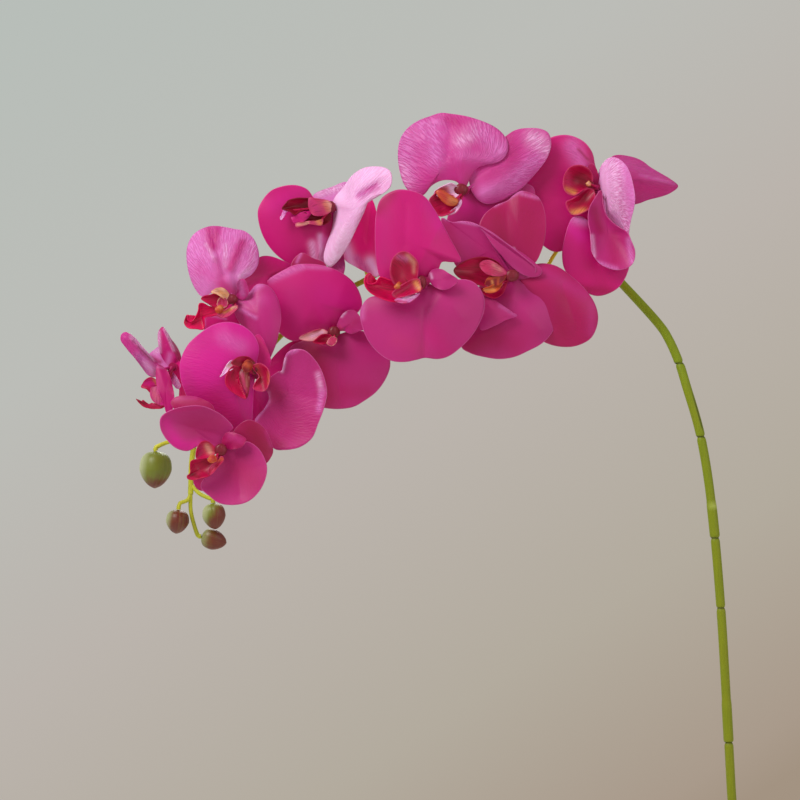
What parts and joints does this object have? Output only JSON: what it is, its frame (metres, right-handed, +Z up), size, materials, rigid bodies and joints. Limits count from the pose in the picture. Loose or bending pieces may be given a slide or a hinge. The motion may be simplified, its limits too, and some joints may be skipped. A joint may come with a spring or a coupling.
{
  "type": "orchid stem in vase",
  "caption": "Arching moth orchid spray with open magenta blooms and green buds on a segmented stem, standing in a plain slim-necked vase.",
  "frame": {"origin": "centre of the vase's flat foot, on the surface it stands on", "axes": "+Z up along the vase's axis; the spray arches towards -X, and its blooms face -Y, towards the viewer"},
  "size_m": [0.4942, 0.152, 0.6971],
  "materials": {
    "petal": "satin",
    "lip": "satin",
    "stem": "satin",
    "bud": "satin",
    "vase": "satin",
    "water": "gloss"
  },
  "bodies": {
    "root": {"bloom_01": "petal", "bloom_02": "petal", "bloom_03": "petal", "bloom_04": "petal", "bloom_05": "petal", "bloom_06": "petal", "bloom_07": "petal", "bloom_08": "petal", "bloom_09": "petal", "bloom_10": "petal", "lip_01": "lip", "lip_02": "lip", "lip_03": "lip", "lip_04": "lip", "lip_05": "lip", "lip_06": "lip", "lip_07": "lip", "lip_08": "lip", "lip_09": "lip", "lip_10": "lip", "bud_1": "bud", "bud_2": "bud", "bud_3": "bud", "bud_4": "bud", "stem": "stem", "vase": "vase", "water": "water"}
  },
  "joints": []
}
